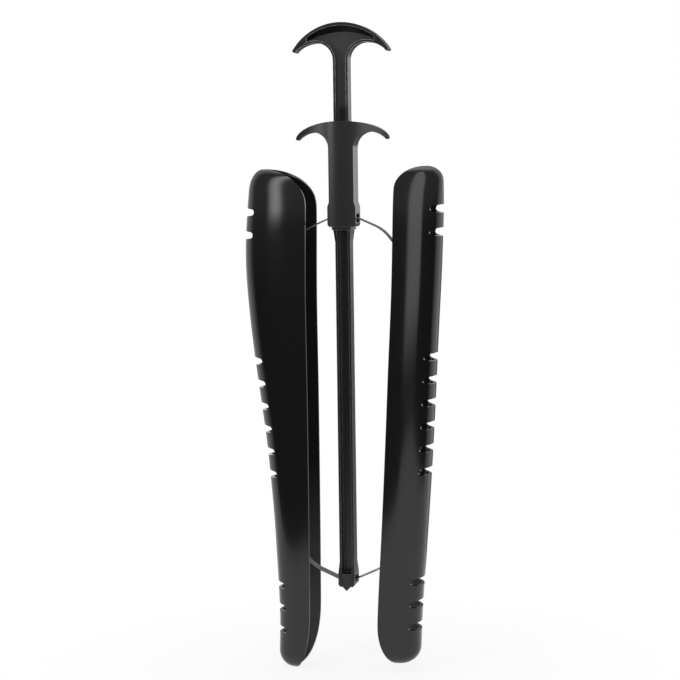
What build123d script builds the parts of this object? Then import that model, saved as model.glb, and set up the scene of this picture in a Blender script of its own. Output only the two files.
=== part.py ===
from build123d import *
from math import acos, cos, degrees, radians, sin, sqrt
import os

# Shells: two long moulded half-shells that press the boot shaft outwards
shell_reach = 77.0
shell_half_width = 20.5
shell_wall = 2.4
shell_tip_trim = 0.4
shell_rim_overrun = 1.6
flange_share = 0.74
nose_share = 0.60
end_station_shares = [0, 0.03, 0.09, 0.18, 0.32, 0.52, 0.78, 1.15]
middle_station_shares = [0.20, 0.29, 0.38, 0.47, 0.56, 0.65, 0.74, 0.81]

# Calf shell: the taller one, bulges over the calf, its rim runs nearly straight
calf_height = 385.6
calf_rim = 26.5
calf_crown_shares = [(0, 0.726), (0.10, 0.706), (0.21, 0.724), (0.30, 0.745), (0.38, 0.776), (0.46, 0.813),
                     (0.54, 0.865), (0.63, 0.924), (0.72, 0.972), (0.81, 1.0), (0.88, 0.992), (1, 0.940)]
calf_rim_shares = [(0, 1.03), (0.25, 1), (0.55, 0.99), (0.75, 1), (0.93, 0.96), (1, 0.95)]
calf_top_tip_share = 0.79
calf_foot_tip_share = 0.54
calf_top_crown_round = 15.0
calf_top_rim_round = 28.0
calf_foot_crown_round = 14.0
calf_foot_rim_round = 46.0

# Shin shell: starts a little higher and leans outwards in one steady line
shin_foot_height = 5.8
shin_height = 380.8
shin_rim = 42.3
shin_crown_shares = [(0, 0.726), (0.10, 0.746), (0.21, 0.787), (0.33, 0.832), (0.45, 0.873),
                     (0.57, 0.908), (0.68, 0.938), (0.78, 0.968), (0.86, 0.987), (0.93, 1.0), (1, 1.0)]
shin_rim_shares = [(0, 0.579), (0.13, 0.636), (0.29, 0.723), (0.45, 0.801), (0.60, 0.868),
                   (0.75, 0.939), (0.90, 0.981), (1, 1)]
shin_top_tip_share = 0.62
shin_foot_tip_share = 0.54
shin_top_crown_round = 11.0
shin_top_rim_round = 17.0
shin_foot_crown_round = 13.0
shin_foot_rim_round = 34.0

# Both shells: how far from each end the sides start to close in
top_side_round = 34.0
foot_side_round = 40.0

# Slots across the crown: where each group starts up the shell, and how many it has
slot_pitch = 17.4
slot_depth = 8.2
slot_height = 4.8
slot_mouth = 6.4
foot_slots_share = 0.080
middle_slots_share = 0.394
top_slots_share = 0.870
foot_slots = 3
middle_slots = 6
top_slots = 2

# Centre rod: a channel bar with a T handle on top and the spring anchors in its foot
rod_width = 11.6
rod_depth = 11.0
rib_wall = 1.8
channel_depth = 7.6
rod_edge_round = 0.5

handle_rise = 74.0
handle_half_span = 37.1
handle_bow_radius = 43.7
handle_rim_wall = 2.2
finger_radius = 13.2
finger_outer_radius = 22.8
finger_drop = 28.4
finger_tip_angle = 49.0
handle_tip_bulge = 1.45
handle_recess_half_span = 26.0
handle_recess_round = 0.9

collar_width = 15.0
collar_depth = 18.4
collar_height = 2.3
collar_lip = 0.9
collar_taper = 9.5

foot_tip_height = 61.6
foot_shoulder_rise = 3.3
foot_top_rise = 13.2
foot_flare_rise = 22.2
foot_width = 12.8
foot_depth = 16.6
foot_shoulder_width = 6.4
foot_corner_round = 1.5
foot_window_rise = 6.6
foot_window_height = 4.8
foot_web = 3.2

# Slide handle: a two-part sleeve that runs on the rod, with its own T
slide_rest_height = 341.3
slide_height = 79.7
slide_clearance = 0.3
slide_width = 19.2
slide_depth = 19.0
slide_face_radius = 110.0
slide_edge_round = 0.8
boss_width = 21.8
boss_height = 15.2
boss_step = 3.6
boss_corner_round = 2.4
slide_bow_width = 36.5
slide_bow_height = 15.0
slide_half_span = 35.6
slide_finger_radius = 12.0
slide_finger_outer_radius = 16.0
slide_finger_rise = 59.4
slide_finger_tip_angle = 40.0
slide_tip_bulge = 1.1
window_rise = 3.3
window_height = 6.3
window_half_depth = 5.7

# Screws that hold the two sleeve halves, driven from the back
slide_screw_radius = 1.1
slide_screw_head_radius = 2.0
slide_screw_head_height = 1.5
slide_screw_seat = 5.6
slide_screw_reach = 6.0
slide_screw_clearance = 0.1
upper_screw_offset = 11.4
upper_screw_rise = 72.4
lower_screw_offset = 8.5
lower_screw_rise = 12.0

# Springs: flat steel strips with a rolled eye at each end
strip_width = 10.0
strip_thickness = 0.6
strip_gap = 0.1
pin_radius = 1.0
pin_clearance = 0.05
pin_length = 15.0
sleeve_eye_offset = 8.4
sleeve_eye_rise = 6.2
foot_eye_offset = 3.7
foot_eye_rise = 9.1
strip_lead_angle = 24.0
strip_turn_angle = 50.0
strip_turn_radius = 29.0
sleeve_lead = 16.6
foot_lead = 18.6

# Clamp that holds each strip on two posts inside its shell, each post midway between two middle slots
post_radius = 4.2
post_pitch_shares = [1.5, 4.5]
calf_post_length = 5.8
shin_post_length = 7.7
clamp_width = 11.0
clamp_thickness = 1.2
clamp_overhang = 6.0
clamp_screw_radius = 1.4
clamp_screw_head_radius = 2.8
clamp_screw_head_height = 1.8
clamp_screw_grip = 5.0
clamp_screw_clearance = 0.1

cut_overrun = 3.0

# Heights and places that follow from the sizes above
slide_top = slide_rest_height + slide_height
slide_finger_height = slide_rest_height + slide_finger_rise
sleeve_eye_height = slide_rest_height + sleeve_eye_rise
handle_top = slide_top + handle_rise
finger_height = handle_top - finger_drop
foot_shoulder_height = foot_tip_height + foot_shoulder_rise
foot_top_height = foot_tip_height + foot_top_rise
foot_flare_height = foot_tip_height + foot_flare_rise
foot_eye_height = foot_tip_height + foot_eye_rise


def value_at(shares, share):
    """Straight-line reading of a list of (share of the height, share of the reach)."""
    for (low, low_value), (high, high_value) in zip(shares, shares[1:]):
        if share <= high:
            return low_value + (high_value - low_value) * (share - low) / (high - low)
    return shares[-1][1]


def end_share(distance, round_size):
    """How much of the full size is left at a distance from a rounded end."""
    if distance >= round_size:
        return 1
    return sqrt(1 - ((round_size - distance) / round_size) ** 2)


class ShellForm:
    """Rim, crown and half width of one shell at any height."""

    def __init__(self, side, foot, height, rim, post_length):
        self.side = side
        self.foot = foot
        self.height = height
        self.top = foot + height
        self.rim = rim
        self.post_length = post_length

    def set_lines(self, rim_shares, crown_shares):
        self.rim_shares = rim_shares
        self.crown_shares = crown_shares

    def set_ends(self, tip_shares, crown_rounds, rim_rounds):
        self.tip_shares = tip_shares
        self.crown_rounds = crown_rounds
        self.rim_rounds = rim_rounds

    def crown_line(self, height):
        return shell_reach * value_at(self.crown_shares, (height - self.foot) / self.height)

    def rim_line(self, height):
        return self.rim * value_at(self.rim_shares, (height - self.foot) / self.height)

    def slot_heights(self):
        groups = [(foot_slots_share, foot_slots), (middle_slots_share, middle_slots),
                  (top_slots_share, top_slots)]
        return [self.foot + share * self.height + step * slot_pitch
                for share, count in groups for step in range(count)]

    def post_heights(self):
        first = self.foot + middle_slots_share * self.height
        return [first + share * slot_pitch for share in post_pitch_shares]

    def post_face(self):
        """How far out the posts' inner ends stand."""
        return self.crown_line(self.post_heights()[0]) - shell_wall - self.post_length

    def strip_reach(self):
        """How far out the middle of the strip's thickness lies on the posts."""
        return self.post_face() - strip_gap - strip_thickness / 2

    def size_at(self, height, inset):
        """Rim, crown and half width at a height, moved inwards by inset."""
        upper = height > self.foot + self.height / 2
        end = 1 if upper else 0
        end_height = self.top if upper else self.foot
        full_rim = self.rim_line(end_height)
        tip = full_rim + self.tip_shares[end] * (self.crown_line(end_height) - full_rim)
        side_round = top_side_round if upper else foot_side_round
        outer = abs(end_height - height) + shell_tip_trim
        inner = outer - inset
        rim_left = end_share(outer, self.rim_rounds[end])
        crown_left = end_share(inner, self.crown_rounds[end] - inset)
        rim = tip + (self.rim_line(height) - tip) * rim_left
        crown = tip + (self.crown_line(height) - inset - tip) * crown_left
        half_width = (shell_half_width - inset) * end_share(inner, side_round - inset)
        return rim, crown, half_width


calf_form = ShellForm(-1, 0, calf_height, calf_rim, calf_post_length)
calf_form.set_lines(calf_rim_shares, calf_crown_shares)
calf_form.set_ends((calf_foot_tip_share, calf_top_tip_share), (calf_foot_crown_round, calf_top_crown_round),
                   (calf_foot_rim_round, calf_top_rim_round))
shin_form = ShellForm(1, shin_foot_height, shin_height, shin_rim, shin_post_length)
shin_form.set_lines(shin_rim_shares, shin_crown_shares)
shin_form.set_ends((shin_foot_tip_share, shin_top_tip_share), (shin_foot_crown_round, shin_top_crown_round),
                   (shin_foot_rim_round, shin_top_rim_round))


def section_wire(form, height, inset, rim_overrun):
    """One D-shaped slice: a flange on each side and a rounded crown between them."""
    rim, crown, half_width = form.size_at(height, inset)
    rim = rim - rim_overrun
    shoulder = rim + flange_share * (crown - rim)
    nose = nose_share * half_width
    back = Bezier((form.side * rim, half_width, height), (form.side * shoulder, half_width, height),
                  (form.side * crown, nose, height), (form.side * crown, 0, height))
    front = Bezier((form.side * crown, 0, height), (form.side * crown, -nose, height),
                   (form.side * shoulder, -half_width, height), (form.side * rim, -half_width, height))
    mouth = Line((form.side * rim, -half_width, height), (form.side * rim, half_width, height))
    return Wire([back, front, mouth])


def lofted_body(form, inset, rim_overrun):
    """Loft of the slices from one rounded end to the other."""
    low = form.foot + inset
    high = form.top - inset
    heights = [low + share * foot_side_round for share in end_station_shares]
    heights += [form.foot + share * form.height for share in middle_station_shares]
    heights += [high - share * top_side_round for share in reversed(end_station_shares)]
    wires = [section_wire(form, height, inset, rim_overrun) for height in heights]
    return Solid.make_loft(wires)


def slot_cutter(form, height):
    """Slot across the crown: a rounded inner end and a flared mouth."""
    crown = form.crown_line(height)
    inner_radius = slot_height / 2
    inner = crown - slot_depth + inner_radius
    outer = crown + cut_overrun
    throat = Polyline((inner, -inner_radius), (crown, -slot_mouth / 2), (outer, -slot_mouth / 2),
                      (outer, slot_mouth / 2), (crown, slot_mouth / 2), (inner, inner_radius), close=True)
    outline = make_face(throat) + Pos(inner, 0) * Circle(inner_radius)
    cutter = extrude(Plane.XZ * (Pos(0, height) * outline), amount=shell_half_width, both=True)
    return cutter if form.side > 0 else mirror(cutter, about=Plane.YZ)


def bar_along_x(form, start, end, radius, height):
    """Round bar that lies along X on one side of the rod."""
    bar = Cylinder(radius, end - start, align=(Align.CENTER, Align.CENTER, Align.MIN))
    bar = Pos(start, 0, height) * (Rot(0, 90, 0) * bar)
    return bar if form.side > 0 else mirror(bar, about=Plane.YZ)


def shell(form):
    body = lofted_body(form, 0, 0) - lofted_body(form, shell_wall, shell_rim_overrun)
    face = form.post_face()
    for height in form.post_heights():
        crown_inside = form.crown_line(height) - shell_wall / 2
        body = body + bar_along_x(form, face, crown_inside, post_radius, height)
    for height in form.slot_heights():
        body = body - slot_cutter(form, height)
    hole_radius = clamp_screw_radius + clamp_screw_clearance
    for height in form.post_heights():
        body = body - bar_along_x(form, face - cut_overrun, face + clamp_screw_grip + strip_gap,
                                  hole_radius, height)
    return body


def circle_point(centre, radius, angle):
    return (centre[0] + radius * cos(radians(angle)), centre[1] + radius * sin(radians(angle)))


def tee_outline(stem_half, bottom, finger, tip, crest, tip_bulge, bow):
    """Front view of a T handle on its stem, drawn on the right and mirrored.

    Each finger gap is a tight arc from the stem to its highest point and a wider one from there to the tip.
    """
    finger_height, radius, outer_radius, tip_angle = finger
    centre = (stem_half + radius, finger_height)
    outer_centre = (stem_half + radius, finger_height + radius - outer_radius)
    finger_top = circle_point(centre, radius, 90)
    inner_tip = circle_point(outer_centre, outer_radius, tip_angle)
    outer_middle = circle_point(outer_centre, outer_radius, (90 + tip_angle) / 2)
    across, up = tip[0] - inner_tip[0], tip[1] - inner_tip[1]
    bulge = tip_bulge / sqrt(across ** 2 + up ** 2)
    tip_middle = (inner_tip[0] + across / 2 + bulge * up, inner_tip[1] + up / 2 - bulge * across)
    right = Line((0, bottom), (stem_half, bottom))
    right += Line((stem_half, bottom), (stem_half, finger_height))
    right += ThreePointArc((stem_half, finger_height), circle_point(centre, radius, 135), finger_top)
    right += ThreePointArc(finger_top, outer_middle, inner_tip)
    right += ThreePointArc(inner_tip, tip_middle, tip)
    right += bow
    right += Line((0, crest), (0, bottom))
    half = make_face(right)
    return half + mirror(half, about=Plane.YZ)


def block(width, depth, low, high):
    """Upright block centred on the rod's axis."""
    return Pos(0, 0, low) * Box(width, depth, high - low, align=(Align.CENTER, Align.CENTER, Align.MIN))


def tapered_block(low_size, high_size, low, high):
    """Upright block whose width and depth change from its lower to its upper end."""
    lower = Pos(0, 0, low) * Rectangle(*low_size)
    upper = Pos(0, 0, high) * Rectangle(*high_size)
    return loft([lower, upper])


def eye_radius():
    return pin_radius + pin_clearance


def centre_rod():
    bow_centre = handle_top - handle_bow_radius
    tip_height = bow_centre + sqrt(handle_bow_radius ** 2 - handle_half_span ** 2)
    bow_tip_angle = degrees(acos(handle_half_span / handle_bow_radius))
    bow_middle = circle_point((0, bow_centre), handle_bow_radius, (90 + bow_tip_angle) / 2)
    bow = ThreePointArc((handle_half_span, tip_height), bow_middle, (0, handle_top))
    finger = (finger_height, finger_radius, finger_outer_radius, finger_tip_angle)
    outline = tee_outline(rod_width / 2, foot_flare_height, finger, (handle_half_span, tip_height),
                          handle_top, handle_tip_bulge, bow)
    bar = extrude(Plane.XZ * outline, amount=rod_depth / 2, both=True)
    bar = fillet(bar.edges().filter_by(GeomType.LINE, reverse=True).group_by(Axis.Y)[0], rod_edge_round)

    recess = handle_recess(bow_centre)
    collar_low = slide_rest_height - collar_height
    upper_channel = block_channel(slide_rest_height, finger_height)
    lower_channel = block_channel(foot_top_height, collar_low)
    collar = block(collar_width, collar_depth, collar_low, slide_rest_height)
    rod_size = (rod_width, rod_depth)
    neck_size = (collar_width - 2 * collar_lip, collar_depth - 2 * collar_lip)
    gusset = tapered_block(rod_size, neck_size, collar_low - collar_taper, collar_low)
    flare = tapered_block((foot_width, foot_depth), rod_size, foot_top_height, foot_flare_height)
    rod = bar + gusset + flare + foot_block() + collar - recess - upper_channel - lower_channel
    return rod - foot_cuts()


def block_channel(low, high):
    """Open channel down the front of the rod."""
    width = rod_width - 2 * rib_wall
    floor = channel_depth - rod_depth / 2
    depth = collar_depth
    return Pos(0, floor - depth / 2, (low + high) / 2) * Box(width, depth, high - low)


def handle_recess(bow_centre):
    """Sunk face of the T, inside its rim."""
    finger_x = rod_width / 2 + finger_radius
    outer_height = finger_height + finger_radius - finger_outer_radius
    outer_size = 2 * (finger_outer_radius + rib_wall)
    area = Pos(0, bow_centre) * Circle(handle_bow_radius - handle_rim_wall)
    limits = Rectangle(2 * handle_recess_half_span, 2 * (handle_top - finger_height))
    area = area & (Pos(0, handle_top) * limits)
    for side in (-1, 1):
        area = area - Pos(side * finger_x, finger_height) * Circle(finger_radius + rib_wall)
        outer_half = Pos(side * (finger_x + outer_size / 2), outer_height) * Rectangle(outer_size, outer_size)
        area = area - (Pos(side * finger_x, outer_height) * Circle(outer_size / 2) & outer_half)
    corners = area.vertices().group_by(Axis.X)
    area = fillet(corners[0] + corners[-1], handle_recess_round)
    depth = rod_depth
    floor = channel_depth - rod_depth / 2
    return Pos(0, floor, 0) * extrude(Plane.XZ * area, amount=depth)


def foot_block():
    """Stepped foot with a blunt point, drawn from the front."""
    half = foot_width / 2
    shoulder = foot_shoulder_width / 2
    inner = half - foot_corner_round
    low = foot_shoulder_height
    side_low = low + foot_corner_round
    outline = Polyline((-half, foot_top_height), (-half, side_low), (-inner, low), (-shoulder, low),
                       (0, foot_tip_height), (shoulder, low), (inner, low), (half, side_low),
                       (half, foot_top_height), close=True)
    return extrude(Plane.XZ * make_face(outline), amount=foot_depth / 2, both=True)


def rod_along_y(radius, low, high, x, z):
    """Round bar that lies along Y."""
    bar = Cylinder(radius, high - low, align=(Align.CENTER, Align.CENTER, Align.MIN))
    return Pos(x, low, z) * (Rot(-90, 0, 0) * bar)


def foot_cuts():
    """Side windows for the strips' lower eyes and the blind holes of their pins."""
    window_depth = strip_width + 2 * slide_clearance
    window_middle = foot_tip_height + foot_window_rise + foot_window_height / 2
    cuts = []
    for side in (-1, 1):
        centre_x = side * (foot_web / 2 + foot_width / 2)
        window = Box(foot_width, window_depth, foot_window_height)
        cuts.append(Pos(centre_x, 0, window_middle) * window)
        cuts.append(rod_along_y(eye_radius(), -foot_pin_front(), foot_depth, side * foot_eye_offset,
                                foot_eye_height))
    return Part() + cuts


def foot_pin_front():
    """How far the foot pins reach towards the front."""
    return pin_length - foot_depth / 2


def slide_body():
    """Whole sleeve with its T, before it is parted down the middle."""
    bow_centre = slide_top - slide_bow_height
    tip_rise = sqrt(1 - (slide_half_span / slide_bow_width) ** 2)
    tip = (slide_half_span, bow_centre + slide_bow_height * tip_rise)
    tip_angle = degrees(acos(slide_half_span / slide_bow_width))
    bow = EllipticalCenterArc((0, bow_centre), slide_bow_width, slide_bow_height,
                              start_angle=tip_angle, arc_size=90 - tip_angle)
    finger = (slide_finger_height, slide_finger_radius, slide_finger_outer_radius, slide_finger_tip_angle)
    outline = tee_outline(slide_width / 2, slide_rest_height, finger, tip, slide_top, slide_tip_bulge, bow)
    outline = outline + boss_outline()
    body = extrude(Plane.XZ * outline, amount=slide_depth / 2, both=True)
    rounding = Pos(0, slide_face_radius - slide_depth / 2) * Circle(slide_face_radius)
    rounding = rounding & (Pos(0, slide_depth / 2 - slide_face_radius) * Circle(slide_face_radius))
    barrel = Pos(0, 0, slide_rest_height) * extrude(rounding, amount=slide_top - slide_rest_height)
    body = body & barrel
    return fillet(face_edges(body), slide_edge_round)


def face_edges(body):
    """Edges that run round the bowed front and back faces."""
    chosen = ShapeList()
    for face in body.faces().filter_by(GeomType.CYLINDER):
        if abs(face.radius - slide_face_radius) < slide_edge_round:
            chosen += face.edges()
    return chosen


def boss_outline():
    """Wider lower end of the sleeve, with a step up to the stem."""
    half = boss_width / 2
    stem = slide_width / 2
    top = slide_rest_height + boss_height
    outline = make_face(Polyline((-half, slide_rest_height), (half, slide_rest_height), (half, top),
                                 (stem, top + boss_step), (-stem, top + boss_step), (-half, top), close=True))
    return fillet(outline.vertices().group_by(Axis.Y)[0], boss_corner_round)


def slide_screw_places():
    for side in (-1, 1):
        yield side * upper_screw_offset, slide_rest_height + upper_screw_rise
        yield side * lower_screw_offset, slide_rest_height + lower_screw_rise


def slide_cuts():
    """Bore for the rod, windows for the strips, and holes for pins and screws."""
    bore = block(rod_width + 2 * slide_clearance, rod_depth + 2 * slide_clearance,
                 slide_rest_height - cut_overrun, slide_top + cut_overrun)
    cuts = [bore]
    window = Box(boss_width, 2 * window_half_depth, window_height)
    window_middle = slide_rest_height + window_rise + window_height / 2
    for side in (-1, 1):
        cuts.append(Pos(side * (rod_width / 2 + boss_width / 2), 0, window_middle) * window)
        half_pin = pin_length / 2 + pin_clearance
        eye_x = side * sleeve_eye_offset
        cuts.append(rod_along_y(eye_radius(), -half_pin, half_pin, eye_x, sleeve_eye_height))
    for x, z in slide_screw_places():
        shank = slide_screw_radius + slide_screw_clearance
        head = slide_screw_head_radius + slide_screw_clearance
        cuts.append(rod_along_y(shank, -slide_screw_reach, slide_screw_seat, x, z))
        cuts.append(rod_along_y(head, slide_screw_seat, slide_depth, x, z))
    return Part() + cuts


def slide_halves():
    body = slide_body() - slide_cuts()
    size = 2 * slide_bow_width
    height = slide_top - slide_rest_height
    middle = (slide_top + slide_rest_height) / 2
    front = body & (Pos(0, -slide_depth / 2, middle) * Box(size, slide_depth, height))
    back = body & (Pos(0, slide_depth / 2, middle) * Box(size, slide_depth, height))
    return front, back


def slide_screws():
    tip = -slide_screw_reach + slide_screw_clearance
    top = slide_screw_seat + slide_screw_head_height
    screws = []
    for x, z in slide_screw_places():
        shank = rod_along_y(slide_screw_radius, tip, slide_screw_seat, x, z)
        head = rod_along_y(slide_screw_head_radius, slide_screw_seat, top, x, z)
        screws.append(shank + head)
    return Compound(children=screws)


def strip_end(eye_offset, eye_height, lead, reach, up):
    """Half of a strip's line, from its eye to the straight run on the shell.

    up is 1 for the end at the sleeve, where the eye hangs under the strip, and -1 at the foot.
    """
    radius = eye_radius() + strip_thickness / 2
    slope = radians(strip_lead_angle)
    start = (eye_offset + radius * sin(slope), radius * cos(slope))
    bend = (start[0] + lead * cos(slope), start[1] - lead * sin(slope))
    middle_angle = (strip_lead_angle + strip_turn_angle) / 2
    turn_middle = arc_step(bend, strip_turn_radius, strip_lead_angle, middle_angle)
    turn_end = arc_step(bend, strip_turn_radius, strip_lead_angle, strip_turn_angle)
    sweep_radius = (reach - turn_end[0]) / (1 - sin(radians(strip_turn_angle)))
    sweep_middle = arc_step(turn_end, sweep_radius, strip_turn_angle, (strip_turn_angle + 90) / 2)
    sweep_end = arc_step(turn_end, sweep_radius, strip_turn_angle, 90)
    points = [start, bend, turn_middle, turn_end, sweep_middle, sweep_end]
    return [(x, eye_height + up * z) for x, z in points]


def arc_step(start, radius, from_angle, to_angle):
    """Point reached on an arc that steepens from one slope to another."""
    return (start[0] + radius * (sin(radians(to_angle)) - sin(radians(from_angle))),
            start[1] - radius * (cos(radians(from_angle)) - cos(radians(to_angle))))


def strip(form):
    reach = form.strip_reach()
    top = strip_end(sleeve_eye_offset, sleeve_eye_height, sleeve_lead, reach, 1)
    low = strip_end(foot_eye_offset, foot_eye_height, foot_lead, reach, -1)
    line = Line(top[0], top[1])
    line += ThreePointArc(*top[1:4])
    line += ThreePointArc(*top[3:6])
    line += Line(top[5], low[5])
    line += ThreePointArc(low[5], low[4], low[3])
    line += ThreePointArc(low[3], low[2], low[1])
    line += Line(low[1], low[0])
    outline = trace(line, line_width=strip_thickness)
    for offset, height in ((sleeve_eye_offset, sleeve_eye_height), (foot_eye_offset, foot_eye_height)):
        eye = Circle(eye_radius() + strip_thickness) - Circle(eye_radius())
        outline = outline + Pos(offset, height) * eye
        outline = outline - Pos(offset, height) * Circle(eye_radius())
    body = extrude(Plane.XZ * outline, amount=strip_width / 2, both=True)
    body = body if form.side > 0 else mirror(body, about=Plane.YZ)
    for height in form.post_heights():
        body = body - bar_along_x(form, reach - cut_overrun, reach + cut_overrun,
                                  clamp_screw_radius + 2 * clamp_screw_clearance, height)
    return body


def clamp_plate(form):
    face = form.strip_reach() - strip_thickness / 2 - strip_gap
    low_post, high_post = form.post_heights()
    length = high_post - low_post + 2 * clamp_overhang
    outline = SlotOverall(length, clamp_width)
    plate = extrude(Plane.YZ * (Rot(0, 0, 90) * outline), amount=clamp_thickness)
    plate = Pos(face - clamp_thickness, 0, (low_post + high_post) / 2) * plate
    plate = plate if form.side > 0 else mirror(plate, about=Plane.YZ)
    for height in form.post_heights():
        plate = plate - bar_along_x(form, face - clamp_thickness - cut_overrun, face + cut_overrun,
                                    clamp_screw_radius + clamp_screw_clearance, height)
    return plate


def clamp_screws(form):
    seat = form.strip_reach() - strip_thickness / 2 - strip_gap - clamp_thickness
    tip = form.post_face() + clamp_screw_grip
    screws = []
    for height in form.post_heights():
        shank = bar_along_x(form, seat, tip, clamp_screw_radius, height)
        head = bar_along_x(form, seat - clamp_screw_head_height, seat, clamp_screw_head_radius, height)
        screws.append(shank + head)
    return Compound(children=screws)


def sleeve_pin(side):
    return rod_along_y(pin_radius, -pin_length / 2, pin_length / 2,
                       side * sleeve_eye_offset, sleeve_eye_height)


def foot_pin(side):
    return rod_along_y(pin_radius, -foot_pin_front() + pin_clearance, foot_depth / 2 - pin_clearance,
                       side * foot_eye_offset, foot_eye_height)


slide_front, slide_back = slide_halves()
pieces = {
    "centre_rod": centre_rod(),
    "slide_handle_front": slide_front,
    "slide_handle_back": slide_back,
    "slide_handle_screws": slide_screws(),
    "calf_shell": shell(calf_form),
    "shin_shell": shell(shin_form),
    "calf_spring": strip(calf_form),
    "shin_spring": strip(shin_form),
    "calf_clamp_plate": clamp_plate(calf_form),
    "shin_clamp_plate": clamp_plate(shin_form),
    "calf_clamp_screws": clamp_screws(calf_form),
    "shin_clamp_screws": clamp_screws(shin_form),
    "calf_sleeve_pin": sleeve_pin(-1),
    "shin_sleeve_pin": sleeve_pin(1),
    "calf_foot_pin": foot_pin(-1),
    "shin_foot_pin": foot_pin(1),
}

os.makedirs("parts", exist_ok=True)
for name, piece in pieces.items():
    export_step(piece, "parts/" + name + ".step")
    print(name, round(piece.volume), "cubic mm")
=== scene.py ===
from math import acos, atan2, cos, pi, radians, sin, sqrt
import bpy
import bmesh
from mathutils import Matrix, Vector


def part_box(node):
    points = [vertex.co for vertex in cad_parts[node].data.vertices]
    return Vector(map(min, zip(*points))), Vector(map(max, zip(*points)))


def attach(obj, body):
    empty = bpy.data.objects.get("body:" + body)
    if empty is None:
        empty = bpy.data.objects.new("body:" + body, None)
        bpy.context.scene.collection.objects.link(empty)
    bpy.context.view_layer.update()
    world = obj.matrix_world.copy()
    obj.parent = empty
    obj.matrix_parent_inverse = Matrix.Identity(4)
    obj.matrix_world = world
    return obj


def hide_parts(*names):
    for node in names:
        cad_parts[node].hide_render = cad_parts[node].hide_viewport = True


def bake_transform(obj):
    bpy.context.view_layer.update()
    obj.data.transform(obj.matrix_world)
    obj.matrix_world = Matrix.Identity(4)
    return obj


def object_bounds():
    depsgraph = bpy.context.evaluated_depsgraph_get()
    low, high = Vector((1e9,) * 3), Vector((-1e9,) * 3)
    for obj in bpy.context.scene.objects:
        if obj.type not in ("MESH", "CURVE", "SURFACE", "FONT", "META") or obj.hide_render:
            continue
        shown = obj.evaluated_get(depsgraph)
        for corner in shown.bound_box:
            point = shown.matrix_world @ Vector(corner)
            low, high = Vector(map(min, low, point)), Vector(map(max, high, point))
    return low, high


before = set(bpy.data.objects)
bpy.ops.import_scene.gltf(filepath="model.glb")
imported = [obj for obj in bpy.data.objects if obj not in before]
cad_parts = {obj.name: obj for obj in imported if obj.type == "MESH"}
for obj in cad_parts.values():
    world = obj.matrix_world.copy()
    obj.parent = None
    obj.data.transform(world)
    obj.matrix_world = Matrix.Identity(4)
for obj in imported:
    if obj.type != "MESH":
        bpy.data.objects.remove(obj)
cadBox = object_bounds()
mm = 1000  # pieces are modelled in millimetres and brought to metres when they are done
scene = bpy.context.scene

# millimetres within which points count as one, and degrees within which faces count as flat
closeness = {"weld": 0.01, "seam": 0.002, "mirror": 0.005, "fine": 0.001, "curve": 0.05, "flatAngle": 0.3}


def boxOf(node):  # a node's lowest and highest corner, in millimetres
    low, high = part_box(node)
    return low * mm, high * mm


def vertsIn(geometry):
    return [item for item in geometry if isinstance(item, bmesh.types.BMVert)]


def everything(bm):
    return bm.verts[:] + bm.edges[:] + bm.faces[:]


# Pens draw outlines in the front view, x to the right and z up

def startPen(bm, point):
    return bm.verts.new((point[0], 0, point[1]))


def lineTo(bm, vert, point):
    tip = bmesh.ops.extrude_vert_indiv(bm, verts=[vert])["verts"][0]
    tip.co = (point[0], 0, point[1])
    return tip


def turnAbout(bm, vert, centre, angle, steps):  # angle in radians, anticlockwise in the front view
    turned = bmesh.ops.spin(bm, geom=[vert], cent=(centre[0], 0, centre[1]), axis=(0, 1, 0),
                            angle=-angle, steps=steps, use_duplicate=False)
    return vertsIn(turned["geom_last"])[0]


def centreOf(a, b, c):  # centre of the circle through three points
    ax, az, bx, bz = b[0] - a[0], b[1] - a[1], c[0] - a[0], c[1] - a[1]
    twice = 2 * (ax * bz - az * bx)
    first, second = ax * ax + az * az, bx * bx + bz * bz
    return (a[0] + (bz * first - az * second) / twice, a[1] + (ax * second - bx * first) / twice)


def arcThrough(bm, vert, middle, end, steps):
    start = (vert.co.x, vert.co.z)
    centre = centreOf(start, middle, end)
    a, b, c = (atan2(p[1] - centre[1], p[0] - centre[0]) for p in (start, middle, end))
    turn = (c - a) % (2 * pi)
    if (b - a) % (2 * pi) > turn:
        turn -= 2 * pi
    return turnAbout(bm, vert, centre, turn, steps)


def onCircle(centre, radius, degree):
    return (centre[0] + radius * cos(radians(degree)), centre[1] + radius * sin(radians(degree)))


def fillOutline(bm, mirrored=False):
    if mirrored:
        bmesh.ops.mirror(bm, geom=bm.verts[:] + bm.edges[:], matrix=Matrix.Identity(4),
                         merge_dist=closeness["weld"], axis="X")
    bmesh.ops.remove_doubles(bm, verts=bm.verts[:], dist=closeness["weld"])
    bmesh.ops.edgeloop_fill(bm, edges=[edge for edge in bm.edges if not edge.link_faces])


def thicken(bm, low, high):  # stands the drawn faces up between two depths
    bmesh.ops.translate(bm, verts=bm.verts[:], vec=(0, low, 0))
    moved = vertsIn(bmesh.ops.extrude_face_region(bm, geom=bm.faces[:])["geom"])
    bmesh.ops.translate(bm, verts=moved, vec=(0, high - low, 0))
    bmesh.ops.recalc_face_normals(bm, faces=bm.faces[:])


def addBlock(bm, low, high):  # box between two corners
    size = Vector(high) - Vector(low)
    middle = (Vector(high) + Vector(low)) / 2
    place = Matrix.Translation(middle) @ Matrix.Diagonal((*size, 1))
    return bmesh.ops.create_cube(bm, size=1, matrix=place)["verts"]


def addTaper(bm, lowSize, highSize, low, high):  # upright block that widens from one end to the other
    verts = addBlock(bm, (-lowSize[0] / 2, -lowSize[1] / 2, low), (lowSize[0] / 2, lowSize[1] / 2, high))
    upper = [vert for vert in verts if vert.co.z > (low + high) / 2]
    bmesh.ops.scale(bm, verts=upper, vec=(highSize[0] / lowSize[0], highSize[1] / lowSize[1], 1))


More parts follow.
